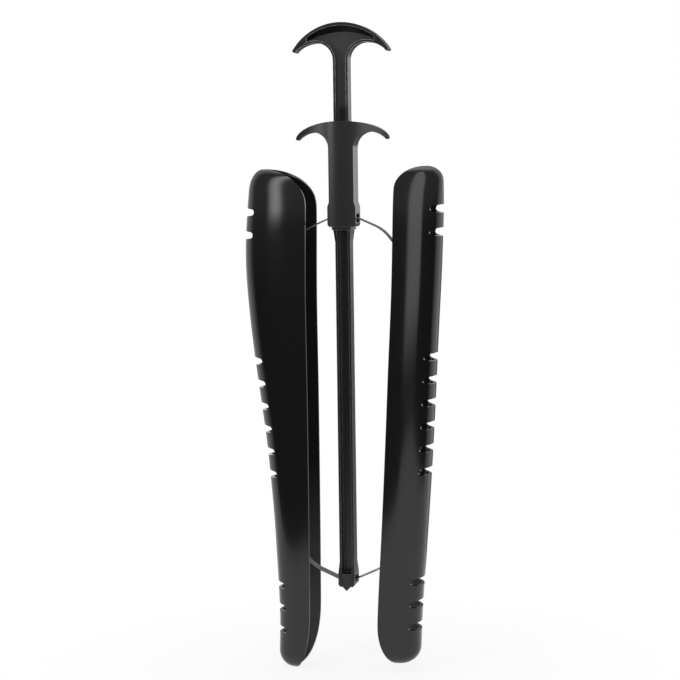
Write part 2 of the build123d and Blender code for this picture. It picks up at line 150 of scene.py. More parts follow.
def addRod(bm, start, end, radius, sides=32):  # round bar between two points
    line = Vector(end) - Vector(start)
    turn = line.to_track_quat("Z", "Y").to_matrix().to_4x4()
    place = Matrix.Translation((Vector(start) + Vector(end)) / 2) @ turn
    bmesh.ops.create_cone(bm, cap_ends=True, segments=sides, radius1=radius, radius2=radius,
                          depth=line.length, matrix=place)


def objectFrom(bm, name):
    mesh = bpy.data.meshes.new(name)
    bm.to_mesh(mesh)
    bm.free()
    obj = bpy.data.objects.new(name, mesh)
    scene.collection.objects.link(obj)
    return obj


def meshOf(obj):
    bm = bmesh.new()
    bm.from_mesh(obj.data)
    return bm


def returnMesh(bm, obj):
    bm.to_mesh(obj.data)
    bm.free()


def bakeModifiers(obj):
    bpy.context.view_layer.update()
    graph = bpy.context.evaluated_depsgraph_get()
    mesh = bpy.data.meshes.new_from_object(obj.evaluated_get(graph), preserve_all_data_layers=True,
                                           depsgraph=graph)
    obj.modifiers.clear()
    obj.data = mesh


def carve(target, bm, operation="DIFFERENCE"):
    tool = objectFrom(bm, "tool")
    cut = target.modifiers.new("carve", "BOOLEAN")
    cut.operation = operation
    cut.solver = "EXACT"
    cut.object = tool
    bakeModifiers(target)
    bpy.data.objects.remove(tool)


def flattenSeams(obj):  # joins coplanar faces that the cuts left apart
    bm = meshOf(obj)
    bmesh.ops.remove_doubles(bm, verts=bm.verts[:], dist=closeness["seam"])
    bmesh.ops.dissolve_limit(bm, angle_limit=radians(closeness["flatAngle"]), verts=bm.verts[:],
                             edges=bm.edges[:])
    returnMesh(bm, obj)


def keepRightHalf(obj):  # leaves an open half, whose faces have no holes in them
    bm = meshOf(obj)
    bmesh.ops.bisect_plane(bm, geom=everything(bm), plane_co=(0, 0, 0), plane_no=(1, 0, 0), clear_inner=True)
    returnMesh(bm, obj)


def mirrorHalf(obj):
    mirror = obj.modifiers.new("mirror", "MIRROR")
    mirror.merge_threshold = closeness["mirror"]
    bakeModifiers(obj)


def roundEdges(obj, width, segments, angle):
    bevel = obj.modifiers.new("edges", "BEVEL")
    bevel.width = width
    bevel.segments = segments
    bevel.profile = 0.5
    bevel.limit_method = "ANGLE"
    bevel.angle_limit = radians(angle)
    bevel.miter_outer = "MITER_ARC"
    bakeModifiers(obj)


def finishPiece(obj, material, body=None, stands=()):
    obj.data.transform(Matrix.Scale(1 / mm, 4))
    obj.data.shade_smooth()
    obj.data.materials.clear()
    obj.data.materials.append(material)
    weigh = obj.modifiers.new("normals", "WEIGHTED_NORMAL")
    weigh.weight = 50
    weigh.keep_sharp = False
    bakeModifiers(obj)
    if stands:
        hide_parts(*stands)
    if body:
        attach(obj, body)


# Shared effects for the materials

def feed(tree, socket, value):  # another node's output is linked, and a plain value is set
    if isinstance(value, bpy.types.NodeSocket):
        tree.links.new(value, socket)
    else:
        socket.default_value = value


def addNode(tree, kind, feeds={}, **settings):
    node = tree.nodes.new(kind)
    for key, value in settings.items():
        setattr(node, key, value)
    for label, value in feeds.items():
        feed(tree, node.inputs[label], value)
    return node


def maths(tree, operation, first, second, clamp=False):
    node = addNode(tree, "ShaderNodeMath", {0: first, 1: second}, operation=operation, use_clamp=clamp)
    return node.outputs[0]


def times(tree, first, second):
    return maths(tree, "MULTIPLY", first, second)


def vectorMaths(tree, operation, first, second):
    return addNode(tree, "ShaderNodeVectorMath", {0: first, 1: second}, operation=operation).outputs


def spread(tree, value, fromLow, fromHigh, toLow, toHigh):
    feeds = {"Value": value, "From Min": fromLow, "From Max": fromHigh, "To Min": toLow, "To Max": toHigh}
    return addNode(tree, "ShaderNodeMapRange", feeds).outputs["Result"]


def noise(tree, vector, scale, detail, roughness=0.5):
    feeds = {"Vector": vector, "Scale": scale, "Detail": detail, "Roughness": roughness}
    return addNode(tree, "ShaderNodeTexNoise", feeds).outputs["Fac"]


def stretch(tree, vector, scale):
    return addNode(tree, "ShaderNodeMapping", {"Vector": vector, "Scale": scale}).outputs["Vector"]


def alongAxis(tree, vector, axis):
    return addNode(tree, "ShaderNodeSeparateXYZ", {0: vector}).outputs[axis]


def surfaceNormal(tree):
    return addNode(tree, "ShaderNodeNewGeometry").outputs["Normal"]


def newGroup(name, inputs, outputs):  # takes in a vector and the numbers named in inputs
    group = bpy.data.node_groups.new(name, "ShaderNodeTree")
    group.interface.new_socket(name="Vector", in_out="INPUT", socket_type="NodeSocketVector")
    for way, labels in (("INPUT", inputs), ("OUTPUT", outputs)):
        for label in labels:
            group.interface.new_socket(name=label, in_out=way, socket_type="NodeSocketFloat")
    return group, group.nodes.new("NodeGroupInput").outputs, group.nodes.new("NodeGroupOutput").inputs


# scale, detail and roughness of each noise, and the spans of it over which an effect comes in
wearAndHighlightPattern = {"samples": 8, "corner": (0.98, 0.86), "patchScale": 220.0, "patchDetail": 4,
               "patches": (0.3, 0.55), "leastPatch": 0.4}
skinPattern = {"flowStretch": (1, 1, 0.35), "flow": (28, 2, 0.4), "grainDetail": 2,
               "filmStretch": (1, 1, 0.4), "film": (140, 6, 0.7)}
linePattern = {"stretch": (6, 900, 6), "lines": (3, 4, 0.7), "blotch": (70, 4, 0.6)}


def buildEdgeWearAndHighlight():  # pale lines beside every corner, broken up by noise; partly real abrasion, partly a painted highlight along the edges
    group, given, result = newGroup("edgeWearAndHighlight", ["Width"], ["Mask"])
    rounded = addNode(group, "ShaderNodeBevel", {"Radius": given["Width"]}, samples=wearAndHighlightPattern["samples"])
    match = vectorMaths(group, "DOT_PRODUCT", rounded.outputs["Normal"], surfaceNormal(group))["Value"]
    edge = spread(group, match, *wearAndHighlightPattern["corner"], 0, 1)
    patches = noise(group, given["Vector"], wearAndHighlightPattern["patchScale"], wearAndHighlightPattern["patchDetail"])
    broken = spread(group, patches, *wearAndHighlightPattern["patches"], wearAndHighlightPattern["leastPatch"], 1)
    feed(group, result["Mask"], times(group, edge, broken))
    return group


def buildMouldSkin():  # faint flow, fine grain and uneven film of a moulded surface
    group, given, result = newGroup("mouldSkin", ["Grain Scale", "Grain", "Flow"], ["Height", "Film"])
    flow = noise(group, stretch(group, given["Vector"], skinPattern["flowStretch"]), *skinPattern["flow"])
    grain = noise(group, given["Vector"], given["Grain Scale"], skinPattern["grainDetail"])
    height = maths(group, "ADD", times(group, flow, given["Flow"]), times(group, grain, given["Grain"]))
    film = noise(group, stretch(group, given["Vector"], skinPattern["filmStretch"]), *skinPattern["film"])
    feed(group, result["Height"], height)
    feed(group, result["Film"], film)
    return group


def buildDrawnLines():  # rolling or brushing lines that run along a strip
    group, given, result = newGroup("drawnLines", [], ["Lines", "Blotch"])
    lines = noise(group, stretch(group, given["Vector"], linePattern["stretch"]), *linePattern["lines"])
    feed(group, result["Lines"], lines)
    feed(group, result["Blotch"], noise(group, given["Vector"], *linePattern["blotch"]))
    return group


edgeWearAndHighlight, mouldSkin, drawnLines = buildEdgeWearAndHighlight(), buildMouldSkin(), buildDrawnLines()


def useGroup(tree, group, vector, numbers={}):
    return addNode(tree, "ShaderNodeGroup", {"Vector": vector, **numbers}, node_tree=group).outputs


def newMaterial(name):
    material = bpy.data.materials.new(name)
    material.use_nodes = True
    tree = material.node_tree
    return material, tree, tree.nodes["Principled BSDF"].inputs


def objectPlace(tree):
    return addNode(tree, "ShaderNodeTexCoord").outputs["Object"]


def mixColour(tree, mask, first, second):
    node = addNode(tree, "ShaderNodeMix", {"Factor": mask}, data_type="RGBA")
    for socket, colour in zip([item for item in node.inputs if item.type == "RGBA"], (first, second)):
        feed(tree, socket, (*colour, 1) if isinstance(colour, tuple) else colour)
    return [item for item in node.outputs if item.type == "RGBA"][0]


def bump(tree, shader, height, strength, distance):
    node = addNode(tree, "ShaderNodeBump", {"Strength": strength, "Distance": distance, "Height": height})
    feed(tree, shader["Normal"], node.outputs["Normal"])


# heights and depths in metres; a span is where an effect starts and where it is full
plastic = {"dustGrains": (1500, 2), "dustSpan": (0.68, 0.8), "filmSpan": (0.3, 0.7), "wornRough": 0.12,
           "inwardSpan": (-0.002, -0.006), "frontSpan": (-0.7, -0.9), "deepSpan": (-0.001, 0),
           "skinDepth": 0.0004, "ior": 1.5}
steel = {"lineSpan": (0.3, 0.7), "stainSpan": (0.52, 0.7), "filmSpan": (0.3, 0.7), "lineDepth": 0.00005}


def facingInward(tree, place):  # mask of the faces that look towards the rod or the middle of their shell
    level = vectorMaths(tree, "MULTIPLY", place, (1, 1, 0))["Vector"]
    facing = vectorMaths(tree, "DOT_PRODUCT", level, surfaceNormal(tree))["Value"]
    return spread(tree, facing, *plastic["inwardSpan"], 0, 1)


def facingFront(tree):
    return spread(tree, alongAxis(tree, surfaceNormal(tree), "Y"), *plastic["frontSpan"], 0, 1)


def teeHeadPart(tree, place, look):  # mask of the T head, whose edge lines and sunk face carry painted light
    return spread(tree, alongAxis(tree, place, "Z"), *look["teeHeadSpan"], 0, 1)


def blackPlastic(name, look):  # edge abrasion with painted highlights, a dull inside with painted light low down, a sunk face painted paler as painted light, and a mould's sink are optional
    material, tree, shader = newMaterial(name)
    place = objectPlace(tree)
    skin = useGroup(tree, mouldSkin, place, {"Grain Scale": look["grainScale"], "Grain": look["grain"],
                                             "Flow": look["flow"]})
    dusty = spread(tree, noise(tree, place, *plastic["dustGrains"]), *plastic["dustSpan"], 0, look["dust"])
    colour = mixColour(tree, dusty, look["colour"], look["dustColour"])
    gloss = spread(tree, skin["Film"], *plastic["filmSpan"], look["roughLow"], look["roughHigh"])
    # edge lines: partly real abrasion, partly a painted highlight along every edge
    if "wearAndHighlight" in look:
        wornAndHighlight = useGroup(tree, edgeWearAndHighlight, place, {"Width": look["wearAndHighlightWidth"]})["Mask"]
        rubbedAndHighlight = look["wornAndHighlightColour"]
        # the T head's edge lines are painted paler still: abrasion from hands and a painted highlight
        if "teeWearAndHighlightColour" in look:
            rubbedAndHighlight = mixColour(tree, teeHeadPart(tree, place, look), rubbedAndHighlight, look["teeWearAndHighlightColour"])
        colour = mixColour(tree, times(tree, wornAndHighlight, look["wearAndHighlight"]), colour, rubbedAndHighlight)
        gloss = maths(tree, "ADD", gloss, times(tree, wornAndHighlight, plastic["wornRough"]))
    # inward faces turn duller and, towards the bottom, paler: the paler colour is painted light from the
    # floor
    if "insideDull" in look:
        low = spread(tree, alongAxis(tree, place, "Z"), *look["lowInsideSpan"], look["dullShare"], 1)
        inside = times(tree, facingInward(tree, place), low)
        colour = mixColour(tree, times(tree, inside, look["lowInsideLit"]), colour, look["lowInsideLitColour"])
        gloss = maths(tree, "ADD", gloss, times(tree, inside, look["insideDull"]))
    # the T's sunk face is painted paler: painted light where the sunk face catches light from above the front
    if "sunkFaceLitColour" in look:
        deep = spread(tree, alongAxis(tree, place, "Y"), *plastic["deepSpan"], 0, 1)
        face = times(tree, facingFront(tree), teeHeadPart(tree, place, look))
        colour = mixColour(tree, times(tree, face, deep), colour, look["sunkFaceLitColour"])
    feed(tree, shader["Base Color"], colour)
    feed(tree, shader["Roughness"], gloss)
    shader["IOR"].default_value = plastic["ior"]
    height = times(tree, skin["Height"], look["bump"])
    if "sink" in look:  # the left half of the face falls away from the middle
        across = maths(tree, "MINIMUM", times(tree, alongAxis(tree, place, "X"), -1), look["sinkHalf"])
        across = maths(tree, "MAXIMUM", across, 0)
        height = maths(tree, "ADD", height, times(tree, times(tree, across, across), -look["sink"]))
    bump(tree, shader, height, 1, plastic["skinDepth"])
    return material


def bareSteel(name, look):
    material, tree, shader = newMaterial(name)
    drawn = useGroup(tree, drawnLines, objectPlace(tree))
    tone = spread(tree, drawn["Lines"], *steel["lineSpan"], 0, 1)
    stain = spread(tree, drawn["Blotch"], *steel["stainSpan"], 0, look["stain"])
    colour = mixColour(tree, tone, look["darkColour"], look["colour"])
    feed(tree, shader["Base Color"], mixColour(tree, stain, colour, look["stainColour"]))
    gloss = spread(tree, drawn["Blotch"], *steel["filmSpan"], look["roughLow"], look["roughHigh"])
    feed(tree, shader["Roughness"], gloss)
    shader["Metallic"].default_value = 1
    bump(tree, shader, drawn["Lines"], look["bump"], steel["lineDepth"])
    return material


# the shell's paler inside colour low down is painted light
shellFinish = {"colour": (0.0072, 0.0072, 0.0078), "dustColour": (0.03, 0.03, 0.031), "dust": 0.2,
               "roughLow": 0.11, "roughHigh": 0.14, "insideDull": 0.35, "dullShare": 0.1,
               "lowInsideSpan": (0.16, 0.07), "lowInsideLit": 0.8, "lowInsideLitColour": (0.05, 0.05, 0.05),
               "grainScale": 1100.0, "grain": 0.05, "flow": 0.3, "bump": 0.12}
gripFinish = {"dustColour": (0.04, 0.04, 0.041), "dust": 0.05, "wearAndHighlightWidth": 0.0007,
              "grainScale": 1600.0, "grain": 0.3, "flow": 0.1, "bump": 0.04}
# the sleeve's edge colour paints lines that are partly abrasion and partly a painted highlight
handleFinish = {**gripFinish, "colour": (0.018, 0.018, 0.0188), "wornAndHighlightColour": (0.12, 0.12, 0.122),
                "wearAndHighlight": 0.35, "roughLow": 0.21, "roughHigh": 0.23, "sink": 15000, "sinkHalf": 0.0112}
# the rod's edge and T-head colours paint edge highlights as well as abrasion; its sunk colour paints light on
# the T's sunk face
rodFinish = {**gripFinish, "colour": (0.009, 0.009, 0.0096), "wornAndHighlightColour": (0.16, 0.16, 0.162), "wearAndHighlight": 0.9,
             "roughLow": 0.285, "roughHigh": 0.3, "teeHeadSpan": (0.43, 0.434),
             "teeWearAndHighlightColour": (0.5, 0.5, 0.5), "sunkFaceLitColour": (0.042, 0.042, 0.043)}
springFinish = {"colour": (0.19, 0.192, 0.2), "darkColour": (0.12, 0.122, 0.13),
                "stainColour": (0.1, 0.1, 0.11), "stain": 0.5, "roughLow": 0.24, "roughHigh": 0.4,
                "bump": 0.3}
zincFinish = {"colour": (0.6, 0.61, 0.63), "darkColour": (0.45, 0.46, 0.48),
              "stainColour": (0.25, 0.25, 0.25), "stain": 0.35, "roughLow": 0.25, "roughHigh": 0.42,
              "bump": 0.25}

shellPlastic = blackPlastic("shellPlastic", shellFinish)
handlePlastic = blackPlastic("handlePlastic", handleFinish)
rodPlastic = blackPlastic("rodPlastic", rodFinish)
springSteel = bareSteel("springSteel", springFinish)
zincSteel = bareSteel("zincSteel", zincFinish)
print("materials made")


# Shells: a grid is bent into the long half-shell, then walled, slotted and edged

# roundings and shares of height are given for the foot first and the top second
shell = {"wall": 2.4, "flangeShare": 0.74, "noseShare": 0.60, "tipTrim": 0.03, "around": 28, "along": 76,
         "sideRounds": (56.0, 50.0), "sidePower": 3, "slotPitch": 17.4, "slotDepth": 8.2, "slotHeight": 4.8,
         "slotMouth": 6.4, "slotSteps": 12, "slotShares": [(0.080, 3), (0.394, 6), (0.870, 2)],
         "postShares": [1.5, 4.5], "postRadius": 4.2, "postSides": 40, "edge": 0.22, "overrun": 3.0}
calfShell = {"side": -1, "rim": 26.5, "tipShares": (0.54, 0.79), "crownRounds": (14.0, 15.0),
             "rimRounds": (46.0, 28.0), "postLength": 5.8,
             "crownShares": [(0, 0.726), (0.10, 0.706), (0.21, 0.724), (0.30, 0.745), (0.38, 0.776),
                             (0.46, 0.813), (0.54, 0.865), (0.63, 0.924), (0.72, 0.972), (0.81, 1.0),
                             (0.88, 0.992), (1, 0.940)],
             "rimShares": [(0, 1.03), (0.25, 1), (0.55, 0.99), (0.75, 1), (0.93, 0.96), (1, 0.95)]}
shinShell = {"side": 1, "rim": 42.3, "tipShares": (0.54, 0.62), "crownRounds": (13.0, 11.0),
             "rimRounds": (34.0, 17.0), "postLength": 7.7,
             "crownShares": [(0, 0.726), (0.10, 0.746), (0.21, 0.787), (0.33, 0.832), (0.45, 0.873),
                             (0.57, 0.908), (0.68, 0.938), (0.78, 0.968), (0.86, 0.987), (0.93, 0.9996),
                             (1, 0.9996)],
             "rimShares": [(0, 0.579), (0.13, 0.636), (0.29, 0.723), (0.45, 0.801), (0.60, 0.868),
                           (0.75, 0.939), (0.90, 0.981), (1, 1)]}


def smoothValue(shares, share):  # reads a list of shares along one smooth curve
    last = len(shares) - 1
    index = min(max([i for i, pair in enumerate(shares) if pair[0] <= share] or [0]), last - 1)
    before, low, high, after = (shares[min(max(index + step, 0), last)] for step in (-1, 0, 1, 2))
    width = high[0] - low[0]
    startSlope = (high[1] - before[1]) / max(high[0] - before[0], width)
    endSlope = (after[1] - low[1]) / max(after[0] - low[0], width)
    t = min(max((share - low[0]) / width, 0), 1)
    return ((2 * t ** 3 - 3 * t ** 2 + 1) * low[1] + (t ** 3 - 2 * t ** 2 + t) * width * startSlope
            + (3 * t ** 2 - 2 * t ** 3) * high[1] + (t ** 3 - t ** 2) * width * endSlope)


def endShare(distance, roundSize, power=2):  # how much of its full size a line keeps near an end
    if distance >= roundSize:
        return 1
    return max(1 - ((roundSize - distance) / roundSize) ** power, 0) ** (1 / power)


def placeShell(form, node):  # reads a shell's foot, top and reach from the frame
    low, high = boxOf(node)
    form["foot"], form["top"] = low.z, high.z
    form["reach"] = max(abs(low.x), abs(high.x))


def lineAt(form, label, height):
    size = form["reach"] if label == "crownShares" else form["rim"]
    return size * smoothValue(form[label], (height - form["foot"]) / (form["top"] - form["foot"]))


def shellPoint(form, across, height):  # across runs from -1 to 1, over the crown
    upper = height > (form["foot"] + form["top"]) / 2
    end = form["top"] if upper else form["foot"]
    distance = abs(end - height) + shell["tipTrim"]
    fullRim = lineAt(form, "rimShares", end)
    tip = fullRim + form["tipShares"][upper] * (lineAt(form, "crownShares", end) - fullRim)
    rim = tip + (lineAt(form, "rimShares", height) - tip) * endShare(distance, form["rimRounds"][upper])
    crown = tip + (lineAt(form, "crownShares", height) - tip) * endShare(distance, form["crownRounds"][upper])
    halfWidth = form["halfWidth"] * endShare(distance, shell["sideRounds"][upper], shell["sidePower"])
    t = 1 - abs(across)
    rest = 1 - t
    shoulder = rim + shell["flangeShare"] * (crown - rim)
    x = rest ** 3 * rim + 3 * rest ** 2 * t * shoulder + (3 * rest * t ** 2 + t ** 3) * crown
    y = halfWidth * (rest ** 3 + 3 * rest ** 2 * t + 3 * rest * t ** 2 * shell["noseShare"])
    return Vector((form["side"] * x, y if across > 0 else -y, height))


def slotHeights(form):
    height = form["top"] - form["foot"]
    return [form["foot"] + share * height + step * shell["slotPitch"]
            for share, count in shell["slotShares"] for step in range(count)]


def postHeights(form):
    first = form["foot"] + shell["slotShares"][1][0] * (form["top"] - form["foot"])
    return [first + share * shell["slotPitch"] for share in shell["postShares"]]


def slotTools(form):
    bm = bmesh.new()
    for height in slotHeights(form):
        crown, side = lineAt(form, "crownShares", height), form["side"]
        radius, mouth = shell["slotHeight"] / 2, shell["slotMouth"] / 2
        inner, outer = crown - shell["slotDepth"] + radius, crown + shell["overrun"]
        pen = startPen(bm, (side * inner, height - radius))
        for x, z in ((crown, -mouth), (outer, -mouth), (outer, mouth), (crown, mouth), (inner, radius)):
            pen = lineTo(bm, pen, (side * x, height + z))
        arcThrough(bm, pen, (side * (inner - radius), height), (side * inner, height - radius),
                   shell["slotSteps"])
    fillOutline(bm)
    thicken(bm, -form["halfWidth"], form["halfWidth"])
    return bm


def makeShell(form, node):
    placeShell(form, node)
    form["halfWidth"] = boxOf(node)[1].y
    bm = bmesh.new()
    bmesh.ops.create_grid(bm, x_segments=shell["around"], y_segments=shell["along"], size=1)
    for vert in bm.verts:
        rise = 0.5 - 0.5 * cos(pi * (vert.co.y + 1) / 2)
        vert.co = shellPoint(form, vert.co.x, form["foot"] + rise * (form["top"] - form["foot"]))
    for end in (form["foot"], form["top"]):
        row = [vert for vert in bm.verts if abs(vert.co.z - end) < shell["tipTrim"]]
        bmesh.ops.pointmerge(bm, verts=row, merge_co=sum((vert.co for vert in row), Vector()) / len(row))
    crown = shellPoint(form, 0, form["top"] / 2)
    crownFace = min(bm.faces, key=lambda face: (face.calc_center_median() - crown).length)
    crownFace.normal_update()
    if crownFace.normal.x * form["side"] < 0:
        bmesh.ops.reverse_faces(bm, faces=bm.faces[:])
    obj = objectFrom(bm, node.replace("_", "") + "Body")
    smooth = obj.modifiers.new("smooth", "SUBSURF")
    smooth.levels = smooth.render_levels = 1
    walls = obj.modifiers.new("wall", "SOLIDIFY")
    walls.thickness = shell["wall"]
    walls.offset = -1
    walls.use_even_offset = True
    bakeModifiers(obj)
    carve(obj, slotTools(form))
    bm = bmesh.new()
    inner = lineAt(form, "crownShares", postHeights(form)[0]) - shell["wall"] - form["postLength"]
    for height in postHeights(form):
        outer = lineAt(form, "crownShares", height) - shell["wall"] / 2
        addRod(bm, (form["side"] * inner, 0, height), (form["side"] * outer, 0, height), shell["postRadius"],
               shell["postSides"])
    carve(obj, bm, "UNION")
    roundEdges(obj, shell["edge"], segments=3, angle=40)
    return obj


for form, node, body in ((calfShell, "calf_shell", "calf_half"), (shinShell, "shin_shell", "shin_half")):
    piece = makeShell(form, node)
    finishPiece(piece, shellPlastic, body, [node])
    print(node, "done,", len(piece.data.polygons), "faces")


# T handles: half of the outline is drawn on the right and mirrored

# the degrees at which a finger gap's arcs pass and end, and the points on each stretch
gap = {"tightMiddle": 135, "tightEnd": 90, "wideMiddle": 70, "tightSteps": 20, "wideSteps": 16, "tipSteps": 8}


def fingerArcs(tee, crest, offset=0):  # centre and radius of the tight and of the wide arc of a finger gap
    x, z = tee["stemHalf"] + tee["fingerRadius"], crest - tee["fingerDrop"]
    outer = (x, z + tee["fingerRadius"] - tee["outerRadius"])
    return (x, z), tee["fingerRadius"] + offset, outer, tee["outerRadius"] + offset


def teeOutline(bm, tee, bottom, crest):
    inner, radius, outer, outerRadius = fingerArcs(tee, crest)
    bowCentre = crest - tee["bowHeight"]
    tipAngle = acos(tee["halfSpan"] / tee["bowWidth"])
    tip = Vector((tee["halfSpan"], bowCentre + tee["bowHeight"] * sin(tipAngle)))
    innerTip = Vector(onCircle(outer, outerRadius, tee["tipAngle"]))
    chord = tip - innerTip
    tipMiddle = (innerTip + tip) / 2 + Vector((chord.y, -chord.x)).normalized() * tee["tipBulge"]
    pen = startPen(bm, (0, bottom))
    pen = lineTo(bm, pen, (tee["stemHalf"], bottom))
    pen = lineTo(bm, pen, (tee["stemHalf"], inner[1]))
    pen = arcThrough(bm, pen, onCircle(inner, radius, gap["tightMiddle"]),
                     onCircle(inner, radius, gap["tightEnd"]), gap["tightSteps"])
    pen = arcThrough(bm, pen, onCircle(outer, outerRadius, gap["wideMiddle"]), innerTip, gap["wideSteps"])
    pen = arcThrough(bm, pen, tipMiddle, tip, gap["tipSteps"])
    for step in range(1, tee["bowSteps"] + 1):
        angle = tipAngle + (pi / 2 - tipAngle) * step / tee["bowSteps"]
        pen = lineTo(bm, pen, (tee["bowWidth"] * cos(angle), bowCentre + tee["bowHeight"] * sin(angle)))
    fillOutline(bm, mirrored=True)


rod = {"stemHalf": 5.8, "depth": 11.0, "rib": 1.8, "channelDepth": 7.6, "halfSpan": 37.1, "bowWidth": 43.7,
       "bowHeight": 43.7, "fingerRadius": 13.2, "outerRadius": 22.8, "fingerDrop": 28.4, "tipAngle": 49,
       "tipBulge": 1.45, "bowSteps": 26, "rim": 1.7, "recessHalfSpan": 26.0, "recessFront": 1.0,
       "recessWide": 82, "recessBow": 70, "recessSteps": (18, 8, 24), "underRise": 7.2, "underRadius": 62.0,
       "collarWidth": 15.0, "collarDepth": 18.4, "collarHeight": 2.3, "collarLip": 0.9,
       "collarTaper": 9.5, "footWidth": 12.8, "footDepth": 16.6, "footShoulder": 6.4, "shoulderRise": 3.3,
       "footTopRise": 13.2, "footFlareRise": 22.2, "footCorner": 1.5, "windowRise": 6.6, "windowHeight": 4.8,
       "windowDepth": 10.6, "web": 3.2, "edge": 0.5}


def rodRecess(crest, collarTop):  # upper channel and the sunk face of the T, one outline
    channel = rod["stemHalf"] - rod["rib"]
    inner, radius, outer, outerRadius = fingerArcs(rod, crest, rod["rib"])
    bowCentre, bowRadius = crest - rod["bowHeight"], rod["bowHeight"] - rod["rim"]
    side, (tightSteps, wideSteps, bowSteps) = rod["recessHalfSpan"], rod["recessSteps"]
    bm = bmesh.new()
    pen = startPen(bm, (0, collarTop))
    pen = lineTo(bm, pen, (channel, collarTop))
    pen = lineTo(bm, pen, (channel, inner[1]))
    pen = arcThrough(bm, pen, onCircle(inner, radius, gap["tightMiddle"]),
                     onCircle(inner, radius, gap["tightEnd"]), tightSteps)
    low = (side, outer[1] + sqrt(outerRadius ** 2 - (side - outer[0]) ** 2))
    pen = arcThrough(bm, pen, onCircle(outer, outerRadius, rod["recessWide"]), low, wideSteps)
    pen = lineTo(bm, pen, (side, bowCentre + sqrt(bowRadius ** 2 - side ** 2)))
    bowMiddle = onCircle((0, bowCentre), bowRadius, rod["recessBow"])
    arcThrough(bm, pen, bowMiddle, (0, crest - rod["rim"]), bowSteps)
    fillOutline(bm, mirrored=True)
    floor = rod["channelDepth"] - rod["depth"] / 2
    thicken(bm, -rod["depth"] / 2 - rod["recessFront"], floor)
    for vert in bm.verts:  # the rim's underside slopes back to the sunk face
        onBow = abs(sqrt(vert.co.x ** 2 + (vert.co.z - bowCentre) ** 2) - bowRadius) < closeness["curve"]
        if onBow and abs(vert.co.y - floor) < closeness["weld"]:
            underCentre = crest - rod["underRise"] - rod["underRadius"]
            vert.co.z = min(vert.co.z, underCentre + sqrt(rod["underRadius"] ** 2 - vert.co.x ** 2))
    return bm


def makeRod():
    low, high = boxOf("centre_rod")
    crest, tip, collarTop = high.z, low.z, boxOf("slide_handle_front")[0].z
    flare, footTop = tip + rod["footFlareRise"], tip + rod["footTopRise"]
    collarLow = collarTop - rod["collarHeight"]
    bm = bmesh.new()
    teeOutline(bm, rod, flare, crest)
    thicken(bm, -rod["depth"] / 2, rod["depth"] / 2)
    obj = objectFrom(bm, "centreRodBody")
    barSize, footSize = (2 * rod["stemHalf"], rod["depth"]), (rod["footWidth"], rod["footDepth"])
    collarSize = (rod["collarWidth"], rod["collarDepth"])
    neckSize = tuple(size - 2 * rod["collarLip"] for size in collarSize)
    for lowSize, highSize, start, end in ((barSize, neckSize, collarLow - rod["collarTaper"], collarLow),
                                          (collarSize, collarSize, collarLow, collarTop),
                                          (footSize, barSize, footTop, flare)):
        bm = bmesh.new()
        addTaper(bm, lowSize, highSize, start, end)
        carve(obj, bm, "UNION")
    half, shoulder, corner = rod["footWidth"] / 2, rod["footShoulder"] / 2, rod["footCorner"]
    base = tip + rod["shoulderRise"]
    bm = bmesh.new()
    pen = startPen(bm, (0, footTop))
    for point in ((half, footTop), (half, base + corner), (half - corner, base), (shoulder, base),
                  (0, tip)):
        pen = lineTo(bm, pen, point)
    fillOutline(bm, mirrored=True)
    thicken(bm, -rod["footDepth"] / 2, rod["footDepth"] / 2)
    carve(obj, bm, "UNION")
    carve(obj, rodRecess(crest, collarTop))
    floor, inner = rod["channelDepth"] - rod["depth"] / 2, rod["stemHalf"] - rod["rib"]
    bm = bmesh.new()
    addBlock(bm, (-inner, -rod["collarDepth"], footTop), (inner, floor, collarLow))
    window, deep = tip + rod["windowRise"], rod["windowDepth"] / 2
    for side in (-1, 1):
        near, far = sorted((side * rod["web"] / 2, side * rod["footWidth"]))
        addBlock(bm, (near, -deep, window), (far, deep, window + rod["windowHeight"]))
    carve(obj, bm)
    keepRightHalf(obj)
    flattenSeams(obj)
    roundEdges(obj, rod["edge"], segments=3, angle=30)
    mirrorHalf(obj)
    finishPiece(obj, rodPlastic, "rod", ["centre_rod"])


makeRod()
print("rod done")

sleeve = {"stemHalf": 9.6, "depth": 19.0, "faceRadius": 95.0, "faceSteps": 72, "halfSpan": 35.6,
          "bowWidth": 36.5, "bowHeight": 15.0, "fingerRadius": 12.0, "outerRadius": 16.0, "fingerDrop": 20.3,
          "tipAngle": 40, "tipBulge": 1.1, "bowSteps": 40, "bossHalf": 10.9, "bossHeight": 15.2,
          "bossStep": 3.6, "bossCorner": 2.4, "cornerSteps": 8, "clearance": 0.3, "overrun": 1.0,
          "windowRise": 3.3, "windowHeight": 6.3, "windowHalfDepth": 5.7, "edge": 1.8, "seamEdge": 0.22,
          "seamAngle": 40, "upperScrew": (11.4, 72.4), "lowerScrew": (8.5, 12.0), "headHole": 2.1,
          "headSides": 28, "headSeat": 5.6}


def sleeveScrews(rest):
    return [(side * x, rest + z) for x, z in (sleeve["upperScrew"], sleeve["lowerScrew"]) for side in (-1, 1)]


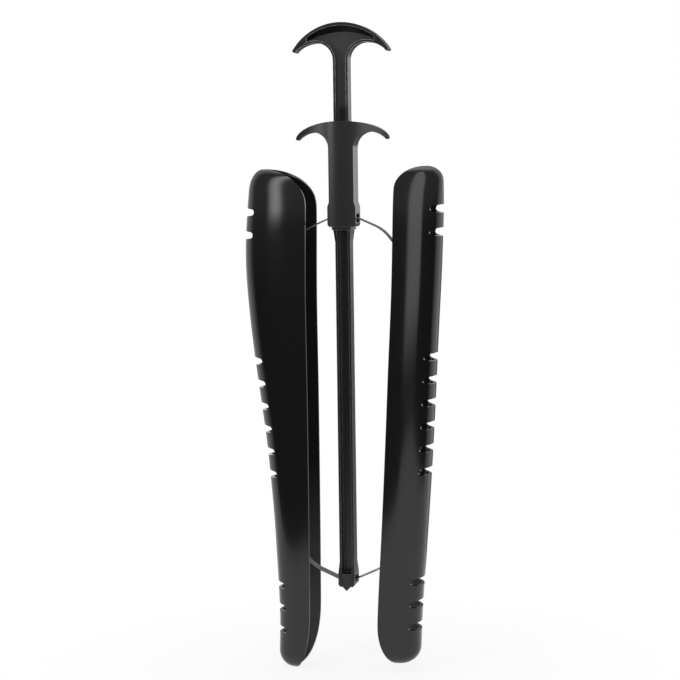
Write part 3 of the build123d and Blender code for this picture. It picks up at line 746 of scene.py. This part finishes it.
def makeSleeve():
    low, high = boxOf("slide_handle_front")
    rest, crest, half, past = low.z, high.z, sleeve["depth"] / 2, sleeve["overrun"]
    bm = bmesh.new()
    teeOutline(bm, sleeve, rest, crest)
    thicken(bm, -half, half)
    obj = objectFrom(bm, "sleeve")
    bm = bmesh.new()
    top, corner, boss = rest + sleeve["bossHeight"], sleeve["bossCorner"], sleeve["bossHalf"]
    pen = startPen(bm, (0, rest))
    pen = lineTo(bm, pen, (boss - corner, rest))
    pen = turnAbout(bm, pen, (boss - corner, rest + corner), pi / 2, sleeve["cornerSteps"])
    for point in ((boss, top), (sleeve["stemHalf"], top + sleeve["bossStep"]), (0, top + sleeve["bossStep"])):
        pen = lineTo(bm, pen, point)
    fillOutline(bm, mirrored=True)
    thicken(bm, -half, half)
    carve(obj, bm, "UNION")
    bm = bmesh.new()  # barrel whose front and back faces bow outwards
    reach, radius = sleeve["bowWidth"] + 2 * past, sleeve["faceRadius"]
    drop = radius - sqrt(radius ** 2 - reach ** 2)
    pen = startPen(bm, (-reach, drop - half))
    pen = arcThrough(bm, pen, (0, -half), (reach, drop - half), sleeve["faceSteps"])
    pen = lineTo(bm, pen, (reach, half - drop))
    pen = arcThrough(bm, pen, (0, half), (-reach, half - drop), sleeve["faceSteps"])
    lineTo(bm, pen, (-reach, drop - half))
    fillOutline(bm)
    thicken(bm, -crest - past, -rest + past)
    bmesh.ops.rotate(bm, verts=bm.verts[:], cent=(0, 0, 0), matrix=Matrix.Rotation(radians(-90), 3, "X"))
    carve(obj, bm, "INTERSECT")
    bm = bmesh.new()
    bore = (rod["stemHalf"] + sleeve["clearance"], rod["depth"] / 2 + sleeve["clearance"])
    addBlock(bm, (-bore[0], -bore[1], rest - past), (bore[0], bore[1], crest + past))
    carve(obj, bm)
    bm = bmesh.new()
    window, deep = rest + sleeve["windowRise"], sleeve["windowHalfDepth"]
    addBlock(bm, (-boss - past, -deep, window), (boss + past, deep, window + sleeve["windowHeight"]))
    for x, z in sleeveScrews(rest):
        addRod(bm, (x, sleeve["headSeat"], z), (x, sleeve["depth"], z), sleeve["headHole"],
               sleeve["headSides"])
    carve(obj, bm)
    flattenSeams(obj)
    for node, keepFront in (("slide_handle_front", True), ("slide_handle_back", False)):
        bm = meshOf(obj)
        bmesh.ops.bisect_plane(bm, geom=everything(bm), plane_co=(0, 0, 0), plane_no=(0, 1, 0),
                               clear_outer=keepFront, clear_inner=not keepFront)
        bmesh.ops.holes_fill(bm, edges=[edge for edge in bm.edges if edge.is_boundary])
        bmesh.ops.recalc_face_normals(bm, faces=bm.faces[:])
        seam = [edge for edge in bm.edges if all(abs(vert.co.y) < closeness["fine"] for vert in edge.verts)
                and len(edge.link_faces) == 2 and edge.calc_face_angle() > radians(sleeve["seamAngle"])]
        bmesh.ops.bevel(bm, geom=seam, offset=sleeve["seamEdge"], segments=2, profile=0.5, affect="EDGES",
                        material=-1)
        part = objectFrom(bm, node.replace("_", "") + "Half")
        roundEdges(part, sleeve["edge"], segments=4, angle=50)
        finishPiece(part, handlePlastic, "slide_handle", [node])
    bpy.data.objects.remove(obj)


makeSleeve()
print("sleeve done")


# Springs: a ribbon drawn from the rolled eye to the clamp, the upper and lower half of each apart

# an eye is given by its distance from the rod's middle and its rise over the lower end of sleeve or rod
spring = {"width": 10.0, "thickness": 0.6, "pinRadius": 1.05, "leadAngle": 24, "turnAngle": 50,
          "turnRadius": 29.0, "sleeveEye": (8.4, 6.2), "footEye": (3.7, 9.1), "sleeveLead": 16.6,
          "footLead": 18.6, "eyeTurn": 285, "eyeSteps": 26, "leadSteps": 6, "turnSteps": 10, "sweepSteps": 30,
          "straightSteps": 30, "edge": 0.12}


def springEye(upper):  # its distance from the rod's middle, and its height
    node, label = ("slide_handle_front", "sleeveEye") if upper else ("centre_rod", "footEye")
    return spring[label][0], boxOf(node)[0].z + spring[label][1]


def springPath(bm, form, node, upper):
    low, high = boxOf(node)
    reach = max(abs(low.x), abs(high.x)) - spring["thickness"] / 2
    sign = 1 if upper else -1
    eyeX, eyeZ = springEye(upper)
    lead = spring["sleeveLead"] if upper else spring["footLead"]
    radius = spring["pinRadius"] + spring["thickness"] / 2
    slope, turn = radians(spring["leadAngle"]), radians(spring["turnAngle"])

    def place(x, z):
        return (form["side"] * x, eyeZ + sign * z)

    def onTurn(start, bend, fromAngle, toAngle):
        return (start[0] + bend * (sin(toAngle) - sin(fromAngle)),
                start[1] - bend * (cos(fromAngle) - cos(toAngle)))

    first = (eyeX + radius * sin(slope), radius * cos(slope))
    bendStart = (first[0] + lead * cos(slope), first[1] - lead * sin(slope))
    bendMiddle = onTurn(bendStart, spring["turnRadius"], slope, (slope + turn) / 2)
    bendEnd = onTurn(bendStart, spring["turnRadius"], slope, turn)
    sweep = (reach - bendEnd[0]) / (1 - sin(turn))
    sweepMiddle = onTurn(bendEnd, sweep, turn, (turn + pi / 2) / 2)
    sweepEnd = onTurn(bendEnd, sweep, turn, pi / 2)
    eyeTurn = radians(spring["eyeTurn"])
    loose = (eyeX + radius * sin(slope - eyeTurn), radius * cos(slope - eyeTurn))
    halfway = (eyeX + radius * sin(slope - eyeTurn / 2), radius * cos(slope - eyeTurn / 2))
    pen = startPen(bm, place(*loose))
    pen = arcThrough(bm, pen, place(*halfway), place(*first), spring["eyeSteps"])
    steps = spring["leadSteps"]
    for step in range(1, steps + 1):
        pen = lineTo(bm, pen, place(first[0] + (bendStart[0] - first[0]) * step / steps,
                                    first[1] + (bendStart[1] - first[1]) * step / steps))
    pen = arcThrough(bm, pen, place(*bendMiddle), place(*bendEnd), spring["turnSteps"])
    pen = arcThrough(bm, pen, place(*sweepMiddle), place(*sweepEnd), spring["sweepSteps"])
    clampMiddle = sum(postHeights(form)) / 2
    start = place(*sweepEnd)
    steps = spring["straightSteps"]
    for step in range(1, steps + 1):
        pen = lineTo(bm, pen, (start[0], start[1] + (clampMiddle - start[1]) * step / steps))
    return start


def makeSpring(form, node, upper):
    bm = bmesh.new()
    straight = springPath(bm, form, node, upper)
    bmesh.ops.translate(bm, verts=bm.verts[:], vec=(0, -spring["width"] / 2, 0))
    moved = vertsIn(bmesh.ops.extrude_edge_only(bm, edges=bm.edges[:])["geom"])
    bmesh.ops.translate(bm, verts=moved, vec=(0, spring["width"], 0))
    obj = objectFrom(bm, node.replace("_", "") + ("Upper" if upper else "Lower"))
    thick = obj.modifiers.new("thick", "SOLIDIFY")
    thick.thickness = spring["thickness"]
    thick.offset = 0
    thick.use_even_offset = True
    bakeModifiers(obj)
    roundEdges(obj, spring["edge"], segments=2, angle=50)
    finishPiece(obj, springSteel)
    eyeX, eyeZ = springEye(upper)
    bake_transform(obj)
    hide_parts(node)


for form, node, half, strip in ((calfShell, "calf_spring", "calf_half", "calf_strip"),
                                (shinShell, "shin_spring", "shin_half", "shin_strip")):
    makeSpring(form, node, False)
    makeSpring(form, node, True)
print("springs done")


# Screws: one pan head with a cross in it, set at each place

screw = {"crossWidth": 0.55, "crossReach": 0.72, "crossDepth": 0.7, "crossTaper": 0.7,
         "domeMiddle": (0.62, 0.9), "domeEnd": 0.45, "domeSteps": 10, "sides": 36, "edge": 0.12}
sleeveScrew = {"headRadius": 2.0, "headHeight": 1.5, "shankRadius": 1.1, "shankLength": 11.5}
clampScrew = {"headRadius": 2.8, "headHeight": 1.8, "shankRadius": 1.4, "shankLength": 6.9}


def makeScrews(name, places, direction, size, body, node):
    headRadius, headHeight = size["headRadius"], size["headHeight"]
    shankRadius, shankLength = size["shankRadius"], size["shankLength"]
    domeX, domeZ = screw["domeMiddle"]
    bm = bmesh.new()
    pen = startPen(bm, (0, headHeight))
    pen = arcThrough(bm, pen, (headRadius * domeX, headHeight * domeZ),
                     (headRadius, headHeight * screw["domeEnd"]), screw["domeSteps"])
    for point in ((headRadius, 0), (shankRadius, 0), (shankRadius, -shankLength), (0, -shankLength)):
        pen = lineTo(bm, pen, point)
    bmesh.ops.spin(bm, geom=bm.verts[:] + bm.edges[:], cent=(0, 0, 0), axis=(0, 0, 1), angle=2 * pi,
                   steps=screw["sides"], use_merge=True, use_duplicate=False)
    bmesh.ops.remove_doubles(bm, verts=bm.verts[:], dist=closeness["fine"])
    bmesh.ops.recalc_face_normals(bm, faces=bm.faces[:])
    obj = objectFrom(bm, name)
    reach, width = headRadius * screw["crossReach"], screw["crossWidth"] / 2
    for x, y in ((reach, width), (width, reach)):
        bm = bmesh.new()
        verts = addBlock(bm, (-x, -y, headHeight - screw["crossDepth"]), (x, y, headHeight + 1))
        lower = [vert for vert in verts if vert.co.z < headHeight]
        bmesh.ops.scale(bm, verts=lower, vec=(screw["crossTaper"], screw["crossTaper"], 1))
        carve(obj, bm)
    roundEdges(obj, screw["edge"], segments=2, angle=40)
    bm = meshOf(obj)
    turn = Vector(direction).to_track_quat("Z", "Y").to_matrix()
    bmesh.ops.rotate(bm, verts=bm.verts[:], cent=(0, 0, 0), matrix=turn)
    first = everything(bm)
    copies = [bmesh.ops.duplicate(bm, geom=first)["geom"] for place in places[1:]]
    for geometry, place in zip([first] + copies, places):
        bmesh.ops.translate(bm, verts=vertsIn(geometry), vec=place)
    returnMesh(bm, obj)
    finishPiece(obj, zincSteel, body, [node])


rest = boxOf("slide_handle_front")[0].z
makeScrews("sleeveScrews", [(x, sleeve["headSeat"], z) for x, z in sleeveScrews(rest)], (0, 1, 0),
           sleeveScrew, "slide_handle", "slide_handle_screws")
for form, prefix in ((calfShell, "calf"), (shinShell, "shin")):
    low, high = boxOf(prefix + "_clamp_plate")
    inner = low.x if form["side"] > 0 else high.x
    makeScrews(prefix + "ClampScrews", [(inner, 0, z) for z in postHeights(form)], (-form["side"], 0, 0),
               clampScrew, prefix + "_half", prefix + "_clamp_screws")


# Clamp plates: a flat link with round ends

clamp = {"edge": 0.25, "endSteps": 24}


def makeClampPlate(prefix):
    low, high = boxOf(prefix + "_clamp_plate")
    radius = high.y
    bm = bmesh.new()
    pen = startPen(bm, (-radius, low.z + radius))
    pen = turnAbout(bm, pen, (0, low.z + radius), pi, clamp["endSteps"])
    pen = lineTo(bm, pen, (radius, high.z - radius))
    pen = turnAbout(bm, pen, (0, high.z - radius), pi, clamp["endSteps"])
    lineTo(bm, pen, (-radius, low.z + radius))
    fillOutline(bm)
    thicken(bm, low.x, high.x)
    bmesh.ops.rotate(bm, verts=bm.verts[:], cent=(0, 0, 0), matrix=Matrix.Rotation(radians(-90), 3, "Z"))
    obj = objectFrom(bm, prefix + "ClampLink")
    roundEdges(obj, clamp["edge"], segments=2, angle=40)
    finishPiece(obj, zincSteel, prefix + "_half", [prefix + "_clamp_plate"])


makeClampPlate("calf")
makeClampPlate("shin")
for node in ("calf_sleeve_pin", "shin_sleeve_pin", "calf_foot_pin", "shin_foot_pin"):
    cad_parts[node].data.materials.clear()
    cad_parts[node].data.materials.append(zincSteel)
print("fasteners done")


# Studio: pale sheet under the object, soft lamps, white all round

studio = {"sheet": [(-0.75, -0.02), (0.1, -0.76), (0.19, -1.02), (0.38, -1.14), (0.58, -1.0), (0.66, -0.55),
                    (0.7, 0.35), (-0.7, 0.35)], "sheetGlow": 0.86, "glowSpan": (0.06, 0.26),
          "paper": (0.9, 0.9, 0.9), "paperRough": 0.9, "paperShine": 0.1, "fill": 0.55,
          "whiteTurn": 8, "whiteFade": 0.2, "darkRoom": (0.02, 0.3), "roomSpan": (-0.08, 0.12),
          "backTurn": (0.75, 0.95), "backShade": 0.88, "backLevel": 0.045, "backBand": (0.055, 0.105)}


def makeFloor():
    bm = bmesh.new()
    bm.faces.new([bm.verts.new((x, y, cadBox[0].z)) for x, y in studio["sheet"]])
    floor = objectFrom(bm, "floorSheet")
    material, tree, paper = newMaterial("floorPaper")
    paper["Base Color"].default_value = (*studio["paper"], 1)
    paper["Roughness"].default_value = studio["paperRough"]
    paper["Specular IOR Level"].default_value = studio["paperShine"]
    white = addNode(tree, "ShaderNodeEmission")
    path = addNode(tree, "ShaderNodeLightPath").outputs
    seen = maths(tree, "ADD", maths(tree, "ADD", path["Is Camera Ray"], path["Is Glossy Ray"]),
                 path["Is Transmission Ray"], clamp=True)
    distance = addNode(tree, "ShaderNodeVectorMath", {0: objectPlace(tree)}, operation="LENGTH")
    glow = spread(tree, distance.outputs["Value"], *studio["glowSpan"], studio["sheetGlow"], 1)
    plain = tree.nodes["Principled BSDF"].outputs[0]
    mix = addNode(tree, "ShaderNodeMixShader", {0: times(tree, seen, glow), 1: plain, 2: white.outputs[0]})
    feed(tree, tree.nodes["Material Output"].inputs["Surface"], mix.outputs[0])
    floor.data.materials.append(material)


def makeWorld():
    world = bpy.data.worlds.new("studioRoom")
    scene.world = world
    world.use_nodes = True
    tree = world.node_tree
    path = addNode(tree, "ShaderNodeLightPath").outputs
    turn = radians(studio["whiteTurn"])
    place = addNode(tree, "ShaderNodeTexCoord").outputs["Generated"]
    towards = vectorMaths(tree, "DOT_PRODUCT", place, (-sin(turn), cos(turn), 0))["Value"]
    height = alongAxis(tree, place, "Z")
    room = spread(tree, height, *studio["roomSpan"], *studio["darkRoom"])
    behind = spread(tree, towards, -studio["whiteFade"], studio["whiteFade"], 0, 1)
    far = spread(tree, towards, *studio["backTurn"], 0, studio["backShade"])
    rise = maths(tree, "SUBTRACT", height, studio["backLevel"])
    past = spread(tree, maths(tree, "ABSOLUTE", rise, 0), *studio["backBand"], 0, 1)
    behind = times(tree, behind, maths(tree, "SUBTRACT", 1, times(tree, far, past)))
    behind = maths(tree, "MAXIMUM", behind, room)
    straight = maths(tree, "ADD", path["Is Camera Ray"], path["Is Transmission Ray"])
    strength = maths(tree, "ADD", times(tree, path["Is Glossy Ray"], behind), straight, clamp=True)
    other = times(tree, path["Is Diffuse Ray"], studio["fill"])
    background = tree.nodes["Background"].inputs
    feed(tree, background["Strength"], maths(tree, "MAXIMUM", strength, other))
    background["Color"].default_value = (1, 1, 1, 1)


# radiance is what a mirror would show; fades are the shares of a lamp's face over which it dims to each edge
lamps = [{"name": "leftSoftbox", "turn": -34.5, "distance": 1.5, "height": 2.62, "width": 0.43, "tall": 4.6,
          "radiance": 4.1, "sideFades": (0.5, 0.22), "endFades": (0.035, 0.1), "aimHeight": 2.66},
         {"name": "rightSoftbox", "turn": 18.2, "distance": 1.5, "height": 2.35, "width": 0.7, "tall": 4.6,
          "radiance": 1.8, "sideFades": (0.1, 0.05), "endFades": (0.02, 0.1), "aimHeight": 2.35},
         {"name": "topSoftbox", "turn": 170, "distance": 0.3, "height": 1.7, "width": 1.2, "tall": 1.2,
          "radiance": 1.1, "sideFades": (0.2, 0.2), "endFades": (0.2, 0.2), "aimHeight": 0.25}]


def fadeAcross(tree, value, fades):
    rising = spread(tree, value, 0, fades[0], 0, 1)
    falling = spread(tree, value, 1 - fades[1], 1, 1, 0)
    return maths(tree, "MULTIPLY", rising, falling, clamp=True)


def makeLamp(lamp):  # turn is measured round the object from the front, to the right
    light = bpy.data.lights.new(lamp["name"], "AREA")
    light.shape = "RECTANGLE"
    light.size, light.size_y = lamp["width"], lamp["tall"]
    light.energy = lamp["radiance"] * pi * lamp["width"] * lamp["tall"]
    light.use_nodes = True
    tree = light.node_tree
    face = addNode(tree, "ShaderNodeNewGeometry").outputs["Parametric"]
    soft = times(tree, fadeAcross(tree, alongAxis(tree, face, "X"), lamp["sideFades"]),
                 fadeAcross(tree, alongAxis(tree, face, "Y"), lamp["endFades"]))
    feed(tree, tree.nodes["Emission"].inputs["Strength"], soft)
    obj = bpy.data.objects.new(lamp["name"], light)
    scene.collection.objects.link(obj)
    turn = radians(lamp["turn"])
    obj.location = (lamp["distance"] * sin(turn), -lamp["distance"] * cos(turn), lamp["height"])
    aim = Vector((0, 0, lamp["aimHeight"])) - obj.location
    obj.rotation_euler = aim.to_track_quat("-Z", "Y").to_euler()


camera = {"turn": 12.196, "distance": 1.5, "height": 0.386, "pitch": 4.999, "yaw": 0.161, "roll": -0.793,
          "focal": 1970.8, "picture": 680, "sensor": 36.0}


def makeCamera():
    lens = bpy.data.cameras.new("productCamera")
    lens.sensor_width = camera["sensor"]
    lens.lens = camera["focal"] / camera["picture"] * camera["sensor"]
    obj = bpy.data.objects.new("productCamera", lens)
    scene.collection.objects.link(obj)
    turn, pitch, roll = radians(camera["turn"]), radians(camera["pitch"]), radians(camera["roll"])
    heading = turn + radians(camera["yaw"])
    forward = Vector((-sin(heading) * cos(pitch), cos(heading) * cos(pitch), -sin(pitch)))
    right = Vector((cos(heading), sin(heading), 0))
    up = right.cross(forward)
    tiltedRight = right * cos(roll) + up * sin(roll)
    tiltedUp = up * cos(roll) - right * sin(roll)
    facing = Matrix((tiltedRight, tiltedUp, -forward)).transposed().to_4x4()
    spot = Vector((camera["distance"] * sin(turn), -camera["distance"] * cos(turn), camera["height"]))
    obj.matrix_world = Matrix.Translation(spot) @ facing
    scene.camera = obj


makeFloor()
makeWorld()
for lamp in lamps:
    makeLamp(lamp)
makeCamera()
scene.view_settings.view_transform = "Standard"
print("studio done")
